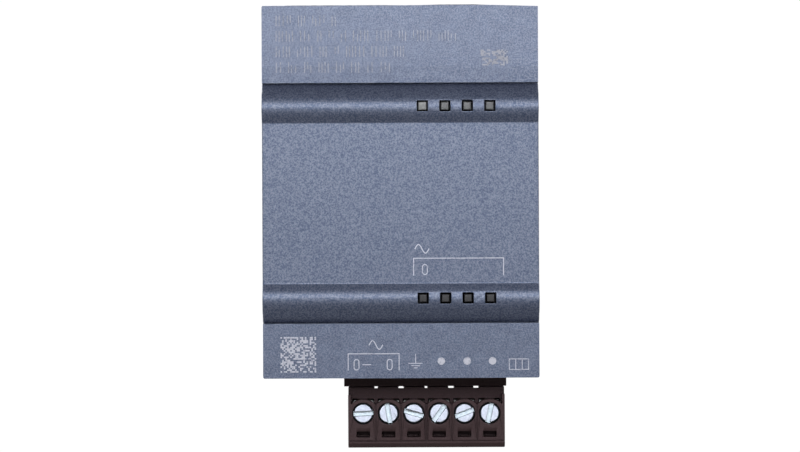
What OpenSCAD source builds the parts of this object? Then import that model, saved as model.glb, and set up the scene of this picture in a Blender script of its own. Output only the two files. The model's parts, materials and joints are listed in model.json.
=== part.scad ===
// Plug-in output module for a small programmable controller, standing upright.
// X runs across the front, Z runs up and the front faces -Y. The origin is the centre of the
// rear mounting face. A depth is a distance in front of that face, so its Y is minus the depth.

/* [Housing] */
// Width across the front
body_w = 38; // [37:0.5:40]
// Height of the housing, without the terminals
body_h = 51.25; // [50.25:0.5:53.25]
// Depth from the rear mounting face to the crests of the two ribs
body_d = 21; // [21:0.5:26]
// Thickness of the moulded walls
wall = 1.6; // [1.3:0.1:1.7]
// Radius of the four corners as seen from the front
corner_r = 0.25; // [0.15:0.05:1.5]
// Depth of the rear cover, which meets the front cover at a seam
rear_d = 3; // [2.6:0.1:3.4]

/* [Front ribs] */
// Height of the middle between the two ribs, from the housing's centre
rib_mid_z = -1.55; // [-2.5:0.05:0]
// Distance from that middle to each crest
crest_offset = 13.15; // [12:0.05:14]
// Radius of the rounded crests
crest_r = 2.6; // [2:0.1:3.4]
// Slope of the flank towards the middle panel, in degrees
inner_slope = 32; // [26:1:45]
// Slope where the crest turns into the flank towards the upper or lower panel, in degrees
outer_slope = 29; // [26:1:34]
// Distance from a crest to its outer groove
groove_offset = 3.39; // [3:0.01:3.6]
// Width of the outer grooves
groove_w = 0.2; // [0.15:0.05:0.6]
// Depth of the outer grooves below the crests
groove_drop = 2.7; // [2.2:0.05:3]
// Depth of the middle panel below the crests
mid_drop = 0.85; // [0.6:0.05:1.2]
// Depth of the upper and lower panels below the crests
panel_drop = 1.45; // [1.2:0.05:1.8]

/* [Indicators] */
// Indicator windows in a row
led_count = 4; // [2:1:4]
// Place of the first window across the front
led_x = 3.05; // [2:0.05:4]
// Distance between windows
led_pitch = 3.08; // [2.9:0.02:3.2]
// Side of a square window
led_window = 1.5; // [1.3:0.05:1.8]
// Side of the light pipe in a window
led_pipe = 1.12; // [0.9:0.02:1.2]

/* [Terminals] */
// Terminals in the plug
poles = 6; // [6:1:6]
// Distance between terminals
pitch = 3.5; // [3.5:0.01:3.5]
// Middle of the terminals across the front
plug_x = 3.45; // [2.75:0.05:4.25]
// Gap between the header's mouth and the plug's shoulder
shoulder_gap = 0.12; // [0.1:0.01:0.3]
// Length of the plug below the shoulder
plug_l = 8.26; // [8.16:0.05:9.06]
// Length of the plug's tongues, which go into the header
tongue_l = 7.45; // [7:0.05:7.5]
// Depth of the plug's rear face
plug_rear = 5.9; // [5.8:0.05:6]
// Depth of the plug's screw face
plug_front = 17; // [16.9:0.05:17.4]

/* [Clamp screws] */
// Radius of a screw's head
head_r = 1.42; // [1.3:0.01:1.44]
// Radius of the screw's thread
thread_r = 1; // [0.9:0.01:1.05]
// Pitch of the thread
thread_pitch = 0.4; // [0.4:0.05:0.5]
// Radius of the round wire entries
entry_r = 1.2; // [1:0.05:1.3]

/* [Hidden] */
$fn = 64;

half_w = body_w / 2;
half_h = body_h / 2;
in_w = half_w - wall;
in_h = half_h - wall;

// Depths of the outer faces and of the hollow behind them
mid_d = body_d - mid_drop;
panel_d = body_d - panel_drop;
lip_d = panel_d - 0.06;
hollow_d = body_d - 3.8;
pocket_d = mid_d - wall;

// Heights of the crests, the grooves and the edges of the panels
crest_up = rib_mid_z + crest_offset;
crest_low = rib_mid_z - crest_offset;
groove_up = crest_up + groove_offset;
groove_low = crest_low - groove_offset;
strip_up = 2.05;
lip_floor = panel_d - 0.85;

// Heights of the two rows of windows, which sit just above the crests
row_up = crest_up + 0.15;
row_low = crest_low + 0.07;

// Circuit board
board_back = 5.7;
board_front = 7.3;
board_w = body_w - 5.8;
board_h = body_h - 4;
post_r = 1.7;
peg_r = 0.7;
posts = [[-13.2, 20.5], [13.2, 20.5], [-13.2, -20.5], [14.4, -11.2]];

// Fixed header and its pins
header_z = -half_h - 1.355;
header_w = 22.54;
header_x = plug_x - 0.14;
header_l = 9.2;
header_back = board_front;
header_front = 14.55;
header_wall = 0.8;
socket_l = 7.63;
pin_d = 11;
pin_w = 0.8;
pin_reach = 6.4;

// Plug
plug_w = 21.66;
shoulder_z = header_z - shoulder_gap;
plug_end = shoulder_z - plug_l;
recess_d = 14.4;
screw_z = shoulder_z - 3.53;
tower_r = 2.44;
tower_z = screw_z - 0.485;
chamber_w = 3;
chamber_top = screw_z + 1.9;
chamber_end = screw_z - 1.9;
chamber_back = 7.4;
ledge_d = 15.1;
seat_d = 15.6;
head_top = 16.7;
wire_d = 9.2;

// Angle of each screw's slot as stored, and the sight gap at each joint between terminals
slot_angles = [3, 99.5, -16, 54.5, 21, 78];
sight_gaps = [0.5, 0.75, 0.4, 0.85, 0.85];

// Rear interfaces
socket_x = 5;
socket_z = 9;
contacts_long = 10;
contact_step = 2;
hook_x = -10;
snap_rows = [14, -15];
guide_pegs = [[-14, -19.5], [14, 19.5]];

function led_at(n) = led_x + n * led_pitch;
function pole_at(n) = plug_x + (n - (poles + 1) / 2) * pitch;

// A box from its own limits: across, in depth and in height
module slab(x0, x1, d0, d1, z0, z1) {
  translate([x0, -d1, z0]) cube([x1 - x0, d1 - d0, z1 - z0]);
}

// A box that is centred across and in height
module block(x, z, w, h, d0, d1) {
  slab(x - w / 2, x + w / 2, d0, d1, z - h / 2, z + h / 2);
}

// A round bar along the depth
module rod(x, z, r, d0, d1) {
  translate([x, -d0, z]) rotate([90, 0, 0]) cylinder(h = d1 - d0, r = r);
}

// A round bar along the depth whose radius changes from r0 to r1
module taper(x, z, r0, r1, d0, d1) {
  translate([x, -d0, z]) rotate([90, 0, 0]) cylinder(h = d1 - d0, r1 = r0, r2 = r1);
}

// Sweeps a flat outline, drawn across and in height, from depth d0 to depth d1
module through(d0, d1) {
  translate([0, -d0, 0]) rotate([90, 0, 0]) linear_extrude(height = d1 - d0) children();
}

// Sweeps a flat outline, drawn in depth and in height, across a width about x
module across(w, x = 0) {
  translate([x, 0, 0]) mirror([0, 1, 0]) rotate([90, 0, 90])
    linear_extrude(height = w, center = true) children();
}

module rounded_outline(w, h, r) {
  square([w - 2 * r, h], center = true);
  square([w, h - 2 * r], center = true);
  for (x = [-1, 1], z = [-1, 1])
    translate([x * (w / 2 - r), z * (h / 2 - r)]) circle(r = r);
}

// One rib as an outline in depth and height, with its crest at the origin and its outer side up
module rib_outline() {
  centre = -crest_r;
  inner = [centre + crest_r * cos(inner_slope), -crest_r * sin(inner_slope)];
  outer = [centre + crest_r * cos(outer_slope), crest_r * sin(outer_slope)];
  inner_foot = inner[1] - (inner[0] + mid_drop) / tan(inner_slope);
  outer_foot = outer[0] - (groove_offset - outer[1]) * tan(outer_slope + 10);
  fall = [outer_foot - outer[0], groove_offset - outer[1]];
  translate([centre, 0]) circle(r = crest_r);
  polygon([
    [-2 * crest_r, inner_foot], [-mid_drop, inner_foot], inner,
    // the outer flank bulges a little
    for (t = [0 : 0.2 : 1]) outer + t * fall + [0.36 * t * (1 - t), 0],
    [-2 * crest_r, groove_offset]
  ]);
}

// The side view of the front cover
module front_outline() {
  polygon([
    [rear_d, -half_h], [panel_d, -half_h], [panel_d, groove_low], [lip_floor, groove_low],
    [lip_floor, crest_low], [mid_d, crest_low], [mid_d, crest_up], [lip_floor, crest_up],
    [lip_floor, groove_up], [lip_d, groove_up],
    [panel_d, groove_up + strip_up], [panel_d, half_h], [rear_d, half_h]
  ]);
  translate([body_d, crest_up]) rib_outline();
  translate([body_d, crest_low]) mirror([0, 1]) rib_outline();
}

// A low bow along the top edge, with a hump right of the middle
module top_bow() {
  through(rear_d, panel_d - 0.35) polygon([
    [-16.4, half_h - 1], [-16.4, half_h], [-15.5, half_h + 0.08], [-3, half_h + 0.08],
    [0, half_h + 0.055], [2.5, half_h + 0.06], [5.6, half_h + 0.125], [9.8, half_h + 0.125],
    [12.9, half_h + 0.01], [12.9, half_h - 1]
  ]);
}

// What the top edge falls by towards its right end
module top_fall() {
  through(rear_d, body_d) polygon([
    [12.9, half_h], [half_w + 1, half_h - 0.2], [half_w + 1, half_h + 1], [12.9, half_h + 1]
  ]);
}

module front_cover() {
  color("slategray") difference() {
    union() {
      intersection() {
        across(body_w) front_outline();
        through(rear_d, body_d + 1) rounded_outline(body_w, body_h, corner_r);
      }
      top_bow();
    }
    top_fall();
    // the hollow, and the pocket that thins the middle panel
    slab(-in_w, in_w, rear_d - 1, hollow_d, -in_h, in_h);
    slab(-in_w, in_w, hollow_d - 1, pocket_d, crest_low + 4, crest_up - 4);
    // the outer grooves
    for (z = [groove_up - groove_w, groove_low])
      slab(-half_w - 1, half_w + 1, body_d - groove_drop, body_d, z, z + groove_w);
    // the fine line across the upper panel
    slab(-half_w - 1, half_w + 1, panel_d - 0.06, body_d, groove_up + strip_up - 0.05,
      groove_up + strip_up + 0.08);
    for (z = [row_up, row_low], n = [0 : led_count - 1])
      block(led_at(n), z, led_window, led_window, hollow_d - 1, body_d + 1);
    // the way out for the header
    block(header_x, -half_h, header_w + 0.2, 4 * wall, rear_d - 1, header_front + 0.1);
    for (x = [-1, 1], z = snap_rows)
      block(x * half_w, z, 3 * wall, 6.4, rear_d + 3.6, rear_d + 5.2);
  }
}

module snap_tongue(side, z) {
  tongue_inset = 0.65;
  root = side * (in_w - tongue_inset);
  block(root, z, 1, 6, rear_d - 0.5, rear_d + 6);
  translate([side * (in_w - 0.15), 0, z]) mirror([side < 0 ? 1 : 0, 0, 0])
    translate([0, 0, -3]) linear_extrude(height = 6) polygon([
      [-0.2, -rear_d - 3.8], [0.75, -rear_d - 3.8], [0.75, -rear_d - 4.2],
      [0, -rear_d - 5.4], [-0.2, -rear_d - 5.4]
    ]);
}

module rear_hook(side) {
  z = side * (half_h - 2);
  block(hook_x, z, 6, 1.2, -4, 1);
  translate([hook_x, 0, z]) mirror([0, 0, side < 0 ? 1 : 0]) rotate([90, 0, 90])
    linear_extrude(height = 6, center = true)
      polygon([[4, -0.6], [4, 0.6], [3.4, 1.2], [2.8, 1.2], [2.8, 0.4]]);
}

module rear_cover() {
  color("darkslategray") difference() {
    union() {
      through(0.5, rear_d) rounded_outline(body_w, body_h, corner_r);
      through(0, 0.5) rounded_outline(body_w - 0.8, body_h - 0.8, corner_r);
      // the rim that locates the front cover
      block(0, 0, 2 * in_w - 0.2, 2 * in_h - 0.2, rear_d - 0.5, rear_d + 2.2);
      // the lip that closes the header's way out
      slab(header_x - header_w / 2, header_x + header_w / 2, rear_d - 0.5, board_front - 0.2,
        -half_h, -in_h - 0.05);
      // the collar around the board connector
      block(socket_x, socket_z, 25.4, 8.9, -1.2, 0.5);
      for (p = guide_pegs) {
        rod(p[0], p[1], 1.5, -3, 0.5);
        taper(p[0], p[1], 0.9, 1.5, -3.6, -3);
      }
      for (side = [-1, 1]) rear_hook(side);
    }
    slab(-in_w + 1.1, in_w - 1.1, 1.6, rear_d + 3, -in_h + 1.1, in_h - 1.1);
    block(socket_x, socket_z, 23, 6.5, -2, 2);
    for (n = [0 : 4]) block(0, -7.4 - 2.6 * n, 17, 1.2, -1, 2);
  }
  color("darkslategray") {
    for (p = posts) {
      rod(p[0], p[1], post_r, 1.6, board_back);
      rod(p[0], p[1], peg_r, board_back, board_front + 0.5);
    }
    for (side = [-1, 1], z = snap_rows) snap_tongue(side, z);
  }
}

module light_guide(z) {
  last = led_at(led_count - 1);
  slab(led_x - 1.3, last + 1.3, hollow_d - 1.8, hollow_d - 0.1, z - 1.3, z + 1.3);
  for (n = [0 : led_count - 1]) {
    block(led_at(n), z, led_pipe, led_pipe, hollow_d - 0.2, body_d - 0.4);
    block(led_at(n), z, 1.6, 1.6, board_front + 1.1, hollow_d - 1.7);
  }
}

module upper_light_guide() {
  color("gainsboro") light_guide(row_up);
}

module lower_light_guide() {
  color("dimgray") light_guide(row_low);
}

module leds(z) {
  for (n = [0 : led_count - 1]) {
    block(led_at(n), z, 1.6, 0.8, board_front, board_front + 0.3);
    block(led_at(n), z, 1.1, 0.8, board_front + 0.3, board_front + 0.8);
  }
}

module upper_leds() {
  color("ivory") leds(row_up);
}

module lower_leds() {
  color("ivory") leds(row_low);
}

// The place of one pin of the board connector, counted along and across it
function contact_at(i, j) = [
  socket_x + (i - (contacts_long - 1) / 2) * contact_step,
  socket_z + (j - 0.5) * contact_step
];

module circuit_board() {
  color("darkgreen") difference() {
    block(0, 0, board_w, board_h, board_back, board_front);
    for (p = posts) rod(p[0], p[1], peg_r + 0.05, board_back - 1, board_front + 1);
    for (n = [1 : poles])
      block(pole_at(n), header_z + header_l + 0.6, 1, 1, board_back - 1, board_front + 1);
    for (i = [0 : contacts_long - 1], j = [0, 1]) {
      p = contact_at(i, j);
      block(p[0], p[1], 0.7, 0.7, board_back - 1, board_front + 1);
    }
  }
}

module terminal_header() {
  top = header_z + header_l;
  back_wall = header_z + socket_l;
  color("black") difference() {
    slab(header_x - header_w / 2, header_x + header_w / 2, header_back, header_front, header_z, top);
    slab(header_x - header_w / 2 + header_wall, header_x + header_w / 2 - header_wall,
      header_back + 0.9, header_front - header_wall, header_z - 1, back_wall);
    for (n = [1 : poles])
      block(pole_at(n), top, pin_w + 0.04, 4, pin_d - pin_w / 2 - 0.02, pin_d + pin_w / 2 + 0.02);
    // the steps at the ends of the mouth
    for (side = [-1, 1])
      block(header_x + side * header_w / 2, header_z, 1.1, 0.5, header_back - 1, header_front - 2.6);
  }
}

module header_pins() {
  top = header_z + header_l;
  back_wall = header_z + socket_l;
  color("silver") for (n = [1 : poles]) {
    slab(pole_at(n) - pin_w / 2, pole_at(n) + pin_w / 2, pin_d - pin_w / 2, pin_d + pin_w / 2,
      back_wall - pin_reach, top + 1);
    block(pole_at(n), top + 0.6, pin_w, pin_w, board_back - 1.5, pin_d);
  }
}

module board_connector() {
  color("black") difference() {
    block(socket_x, socket_z, 21.6, 5, 0.4, board_back);
    for (i = [0 : contacts_long - 1], j = [0, 1]) {
      p = contact_at(i, j);
      block(p[0], p[1], 0.52, 0.52, 0, board_back + 1);
    }
  }
}

module board_connector_pins() {
  color("gold") for (i = [0 : contacts_long - 1], j = [0, 1]) {
    p = contact_at(i, j);
    block(p[0], p[1], 0.5, 0.5, -3, board_front + 0.7);
  }
}

module chip(x, z, w, h, tall) {
  difference() {
    block(x, z, w, h, board_front + 0.15, board_front + tall);
    rod(x - w / 2 + 0.8, z + h / 2 - 0.8, 0.35, board_front + tall - 0.1, board_front + tall + 1);
  }
}

module controller_chip() {
  color("dimgray") chip(-8, 15, 7, 7, 1.5);
}

module converter_chip() {
  color("dimgray") chip(4, -5.6, 5, 4.4, 1.1);
}

module isolator_chip() {
  color("dimgray") chip(6, 2.6, 10.3, 7.5, 2.5);
}

module amplifier_chip() {
  color("dimgray") chip(11.4, -5.4, 4.9, 3.9, 1.6);
}

// A row of bent leads on one side of a chip, along X, with the chip below them
module lead_row(count, step, tall) {
  for (i = [0 : count - 1])
    translate([(i - (count - 1) / 2) * step, 0, 0]) across(0.3)
      polygon([
        [board_front, 1], [board_front + 0.15, 1], [board_front + 0.15, 0.55],
        [board_front + tall, 0.45], [board_front + tall, 0], [board_front + tall - 0.15, 0],
        [board_front + tall - 0.15, 0.3], [board_front, 0.4]
      ]);
}

module two_rows(x, z, h, count, step, tall) {
  for (side = [0, 1]) translate([x, 0, z]) mirror([0, 0, side])
    translate([0, 0, h / 2]) lead_row(count, step, tall);
}

module chip_leads() {
  color("lightgray") {
    two_rows(-8, 15, 7, 8, 0.8, 0.8);
    translate([-8, 0, 15]) rotate([0, 90, 0]) two_rows(0, 0, 7, 8, 0.8, 0.8);
    two_rows(4, -5.6, 4.4, 8, 0.6, 0.7);
    two_rows(6, 2.6, 7.5, 8, 1.27, 1.3);
    two_rows(11.4, -5.4, 3.9, 4, 1.2, 0.9);
  }
}

module transformer_core() {
  color("dimgray") difference() {
    block(-9, 2.5, 9, 8.6, board_front + 0.2, board_front + 6.4);
    block(-9, 2.5, 5.4, 12, board_front + 1.4, board_front + 5.2);
  }
}

module transformer_coil() {
  color("peru") {
    block(-9, 2.5, 5.2, 10.4, board_front + 1.5, board_front + 5.1);
    for (x = [-11, -9, -7], z = [-1, 1])
      block(x, 2.5 + z * 4.9, 0.6, 0.6, board_front, board_front + 1.5);
  }
}

module storage_capacitors() {
  color("lightgray") for (z = [-7.6, -14.8]) {
    block(-12.2, z, 6.6, 6.6, board_front, board_front + 0.6);
    rod(-12.2, z, 3.1, board_front + 0.6, board_front + 5.6);
  }
}

module ceramic_capacitors() {
  color("burlywood") {
    for (n = [0 : 5]) block(14.6, 6.4 - 2.4 * n, 1.2, 2, board_front, board_front + 0.9);
    for (n = [0 : 3]) block(-1.6, 20.4 - 2.2 * n, 2, 1.2, board_front, board_front + 0.9);
  }
}

module resistors() {
  color("black") {
    for (n = [0 : 6]) block(2.2 + 1.5 * n, 16.2, 0.8, 1.6, board_front, board_front + 0.5);
    for (n = [0 : 4]) block(-2.6, 7 - 1.5 * n, 1.6, 0.8, board_front, board_front + 0.5);
    for (n = [0 : 3]) block(-5.8 + 1.5 * n, -7, 0.8, 1.6, board_front, board_front + 0.5);
  }
}

module suppressor_diodes() {
  color("black") for (n = [0 : 2]) {
    block(-5.2 + 5.6 * n, -11, 4.3, 2.6, board_front + 0.1, board_front + 2.1);
    block(-5.2 + 5.6 * n, -11, 5, 1.4, board_front, board_front + 0.2);
  }
}

// The screw face with its scalloped upper edge, and the two end plates
module tower_outline() {
  end_plate = 0.4;
  plate_top = shoulder_z - 0.9;
  intersection() {
    union() {
      for (n = [1 : poles]) translate([pole_at(n), tower_z]) circle(r = tower_r);
      translate([plug_x, (plug_end + tower_z) / 2])
        square([plug_w, tower_z - plug_end], center = true);
      for (side = [-1, 1]) translate([plug_x + side * (plug_w - end_plate) / 2, (plug_end + plate_top) / 2])
        square([end_plate, plate_top - plug_end], center = true);
    }
    translate([plug_x, screw_z]) square([plug_w, 3 * plug_l], center = true);
  }
}

// What is cut out of the plug for one terminal
module terminal_cuts(x) {
  // the screw's well, its clearance under the head, and the chamber of the cage
  rod(x, screw_z, 1.5, seat_d, plug_front + 1);
  rod(x, screw_z, thread_r + 0.12, ledge_d - 0.5, plug_front);
  slab(x - chamber_w / 2, x + chamber_w / 2, chamber_back, ledge_d, chamber_end, chamber_top);
  // the wire entry with its flared mouth
  translate([x, -wire_d, plug_end - 1]) cylinder(h = chamber_end - plug_end + 1.5, r = entry_r);
  translate([x, -wire_d, plug_end]) cylinder(h = 0.45, r1 = entry_r + 0.35, r2 = entry_r);
  translate([x, -wire_d, plug_end - 1]) cylinder(h = 1, r = entry_r + 0.35);
  // the hollow of the contact, and the pin's way in
  slab(x - 1, x + 1, pin_d - 1.8, pin_d + 1.8, chamber_top - 0.5, shoulder_z + tongue_l - 0.7);
  block(x, shoulder_z + tongue_l, 1.3, 2, pin_d - 0.65, pin_d + 0.65);
  // the window under the screw, below a shallow ramp
  window = [plug_end + 1.45, plug_end + 2.23];
  slab(x - 0.93, x + 0.93, plug_front - 2.2, plug_front + 1, window[0], window[1]);
  translate([x - 0.93, 0, 0]) rotate([90, 0, 90]) linear_extrude(height = 1.86)
    polygon([
      [-plug_front - 1, window[1] - 0.1], [-plug_front + 0.3, window[1] - 0.1],
      [-plug_front - 0.05, window[1] + 0.7], [-plug_front - 1, window[1] + 0.7]
    ]);
}

module plug_housing() {
  color("black") difference() {
    union() {
      slab(plug_x - plug_w / 2, plug_x + plug_w / 2, plug_rear, recess_d, plug_end, shoulder_z);
      through(recess_d - 0.5, plug_front) tower_outline();
      for (n = [1 : poles])
        slab(pole_at(n) - 1.35, pole_at(n) + 1.35, 8.45, 13.45, shoulder_z - 0.5, shoulder_z + tongue_l);
    }
    for (n = [1 : poles]) terminal_cuts(pole_at(n));
    for (n = [1 : poles - 1]) {
      x = pole_at(n) + pitch / 2;
      middle = n == poles / 2;
      across(sight_gaps[n - 1], x) polygon([
        [plug_rear - 1, shoulder_z - 0.7], [recess_d + 0.1, shoulder_z - 0.13],
        [recess_d + 0.1, shoulder_z + 0.26], [plug_rear - 1, shoulder_z + 0.26]
      ]);
      slab(x - (middle ? 0.17 : 0.09), x + (middle ? 0.17 : 0.09),
        plug_front - (middle ? 0.6 : 0.3), plug_front + 1, plug_end + 0.9, shoulder_z);
    }
    // the line and the bevel along the lower edge of the screw face
    slab(plug_x - plug_w, plug_x + plug_w, plug_front - 0.18, plug_front + 1, plug_end + 0.85,
      plug_end + 0.98);
    translate([plug_x, 0, 0]) rotate([90, 0, 90]) linear_extrude(height = 2 * plug_w, center = true)
      polygon([
        [-plug_front - 1, plug_end - 1], [-plug_front + 0.45, plug_end - 1],
        [-plug_front + 0.45, plug_end], [-plug_front, plug_end + 0.55],
        [-plug_front - 1, plug_end + 0.55]
      ]);
    // shallow panels in the rear face, and the finger grips in the ends
    for (n = [1 : poles]) block(pole_at(n), screw_z, 2.3, 4.4, plug_rear - 1, plug_rear + 0.25);
    for (side = [-1, 1], n = [0 : 2])
      block(plug_x + side * plug_w / 2, screw_z - 1.6 + 1.5 * n, 0.5, 0.7,
        plug_rear + 2.5, plug_front - 3);
  }
}

// The sprung contact that grips a header pin, with the bar that the wire is clamped to
module contact(n) {
  x = pole_at(n);
  top = shoulder_z + tongue_l - 0.9;
  base = header_z + socket_l - pin_reach - 1.2;
  color("goldenrod") {
    for (side = [-1, 1]) {
      leaf = pin_d + side * 1.2;
      slab(x - 0.85, x + 0.85, leaf - 0.2, leaf + 0.2, base, top);
      translate([x - 0.85, -pin_d - side, top - 1.4]) rotate([0, 90, 0])
        cylinder(h = 1.7, r = 0.55);
    }
    slab(x - 0.85, x + 0.85, pin_d - 1.4, pin_d + 1.4, base, base + 0.7);
    slab(x - 0.85, x + 0.85, pin_d - 0.4, pin_d + 0.35, chamber_end + 0.2, base + 0.5);
  }
}

// A slotted screw with its head to the front, its thread drawn as rings
module clamp_screw(n) {
  tip = seat_d - 4.15;
  rings = floor((seat_d - 0.6 - tip) / thread_pitch);
  color("lightsteelblue") translate([pole_at(n), 0, screw_z]) rotate([0, -slot_angles[n - 1], 0])
    difference() {
      rotate([90, 0, 0]) rotate_extrude() polygon(concat(
        [[0, tip], [thread_r - 0.2, tip]],
        [for (i = [0 : rings - 1], k = [0, 1])
          [k == 0 ? thread_r - 0.15 : thread_r, tip + (i + 0.25 + k / 2) * thread_pitch]],
        [
          [thread_r - 0.15, seat_d - 0.5], [thread_r - 0.15, seat_d], [head_r, seat_d],
          [head_r, head_top - 0.3], [head_r - 0.2, head_top], [0, head_top]
        ]
      ));
      slab(-2, 2, head_top - 0.55, head_top + 1, -0.33, 0.33);
    }
}

// The cage that the screw draws towards its head
module clamp_cage(n) {
  x = pole_at(n);
  color("silver") difference() {
    slab(x - 1.4, x + 1.4, 7.6, 13.2, screw_z - 1.7, screw_z + 1.7);
    slab(x - 1.1, x + 1.1, 8.3, 12.1, screw_z - 3, screw_z + 3);
    rod(x, screw_z, thread_r + 0.05, 12, 14);
  }
}

front_cover();
rear_cover();
upper_light_guide();
lower_light_guide();
circuit_board();
upper_leds();
lower_leds();
terminal_header();
header_pins();
board_connector();
board_connector_pins();
controller_chip();
converter_chip();
isolator_chip();
amplifier_chip();
chip_leads();
transformer_core();
transformer_coil();
storage_capacitors();
ceramic_capacitors();
resistors();
suppressor_diodes();
plug_housing();
for (n = [1 : poles]) {
  contact(n);
  clamp_screw(n);
  clamp_cage(n);
}
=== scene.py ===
import bmesh
import bpy
import json
import math
import random
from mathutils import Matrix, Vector

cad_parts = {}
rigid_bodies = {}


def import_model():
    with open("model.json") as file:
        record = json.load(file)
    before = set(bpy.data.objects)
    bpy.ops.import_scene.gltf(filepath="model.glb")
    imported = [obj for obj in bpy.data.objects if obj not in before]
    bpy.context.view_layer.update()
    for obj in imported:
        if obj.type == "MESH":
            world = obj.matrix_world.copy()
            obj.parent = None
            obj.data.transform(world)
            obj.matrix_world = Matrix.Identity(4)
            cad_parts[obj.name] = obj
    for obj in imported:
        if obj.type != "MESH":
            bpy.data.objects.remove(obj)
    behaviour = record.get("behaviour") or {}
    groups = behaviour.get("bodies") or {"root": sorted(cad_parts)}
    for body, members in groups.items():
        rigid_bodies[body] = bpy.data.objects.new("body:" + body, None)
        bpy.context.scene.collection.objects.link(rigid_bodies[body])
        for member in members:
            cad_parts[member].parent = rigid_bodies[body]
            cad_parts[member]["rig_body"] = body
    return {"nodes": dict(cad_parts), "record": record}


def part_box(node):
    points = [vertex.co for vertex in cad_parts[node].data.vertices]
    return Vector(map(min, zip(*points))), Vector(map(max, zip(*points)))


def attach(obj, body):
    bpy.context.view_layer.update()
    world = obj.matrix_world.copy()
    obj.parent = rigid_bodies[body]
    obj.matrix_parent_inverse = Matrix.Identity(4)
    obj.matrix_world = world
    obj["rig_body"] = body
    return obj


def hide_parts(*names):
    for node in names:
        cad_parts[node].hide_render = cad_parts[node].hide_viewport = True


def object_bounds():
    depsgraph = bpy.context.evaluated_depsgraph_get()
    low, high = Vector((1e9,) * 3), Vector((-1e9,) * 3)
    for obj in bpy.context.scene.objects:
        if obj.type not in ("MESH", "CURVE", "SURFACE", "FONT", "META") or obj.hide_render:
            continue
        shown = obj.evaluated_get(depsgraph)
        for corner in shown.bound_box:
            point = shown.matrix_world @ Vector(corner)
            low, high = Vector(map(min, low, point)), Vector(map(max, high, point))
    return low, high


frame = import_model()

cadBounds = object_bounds()
mm = 0.001
nodes = frame["nodes"]
slotOf = {s["node"]: s["material_slot"] for s in frame["record"]["subparts"]}
print("stage 1: frame loaded,", len(nodes), "parts")


def pieceFromMesh(name, bm, body, origin=Vector((0, 0, 0))):
    for vert in bm.verts:
        vert.co -= origin
    mesh = bpy.data.meshes.new(name)
    bm.to_mesh(mesh)
    bm.free()
    piece = bpy.data.objects.new(name, mesh)
    piece.location = origin
    bpy.context.scene.collection.objects.link(piece)
    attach(piece, body)
    return piece


def bareCopy(nodeName):
    # the part's own triangles, welded at their shared corners
    source = nodes[nodeName].data
    bm = bmesh.new()
    verts = [bm.verts.new(v.co) for v in source.vertices]
    for polygon in source.polygons:
        try:
            bm.faces.new([verts[i] for i in polygon.vertices])
        except ValueError:
            pass
    bmesh.ops.remove_doubles(bm, verts=bm.verts[:], dist=1e-6)
    return bm


# How edges are rounded and shaded, with turns in degrees.
edgeRules = {
    "crisp": 28, "slight": 3, "samePlane": 0.6, "nextFace": 36, "sameCurve": 50,
    "creaseWide": 0.55 * mm, "faceWide": 0.5 * mm, "sliverWide": 0.003 * mm,
    "roomShare": 0.34, "smallest": 0.15, "bandDepth": 17 * mm,
}


def edgeTurn(edge):
    if len(edge.link_faces) != 2:
        return 0.0
    return edge.calc_face_angle(0.0)


def isCrease(edge, turn):
    # a slight turn between two wide faces is a crease, and between narrow ones it is part of a curve
    if turn < math.radians(edgeRules["slight"]):
        return False
    widths = [face.calc_area() / edge.calc_length() for face in edge.link_faces]
    return min(widths) > edgeRules["creaseWide"]


def softenEdges(piece, width, segments, crispBands=()):
    # each crisp edge is rounded, by less where its neighbours are short, and not at all in the bands
    mesh = piece.data
    bm = bmesh.new()
    bm.from_mesh(mesh)
    bm.edges.ensure_lookup_table()
    crisp, slight = math.radians(edgeRules["crisp"]), math.radians(edgeRules["slight"])
    turning = {e.index: edgeTurn(e) for e in bm.edges}
    layer = bm.edges.layers.float.new("bevel_weight_edge")
    for edge in bm.edges:
        if turning[edge.index] < crisp:
            if isCrease(edge, turning[edge.index]):
                edge.smooth = False
            continue
        height = (edge.verts[0].co.z + edge.verts[1].co.z) / 2 / mm
        deep = max(edge.verts[0].co.y, edge.verts[1].co.y) < -edgeRules["bandDepth"]
        if deep and any(a < height < b for a, b in crispBands):
            edge.smooth = False
            continue
        room = edge.calc_length()
        for vert in edge.verts:
            for other in vert.link_edges:
                if other is not edge and turning[other.index] > slight:
                    room = min(room, other.calc_length())
        share = min(1.0, room * edgeRules["roomShare"] / width)
        if share < edgeRules["smallest"]:
            edge.smooth = False
        else:
            edge[layer] = share
    for face in bm.faces:
        face.smooth = True
    bm.to_mesh(mesh)
    bm.free()
    bevel = piece.modifiers.new("softened edges", "BEVEL")
    bevel.limit_method = "WEIGHT"
    bevel.width = width
    bevel.segments = segments
    bevel.use_clamp_overlap = False
    bevel.miter_outer = "MITER_ARC"
    graph = bpy.context.evaluated_depsgraph_get()
    rounded = bpy.data.meshes.new_from_object(piece.evaluated_get(graph))
    piece.modifiers.clear()
    piece.data = rounded
    settleNormals(piece)


def isSliver(face):
    # too thin for its own normal to mean anything
    return face.calc_area() < edgeRules["sliverWide"] * max(edge.calc_length() for edge in face.edges)


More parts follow.
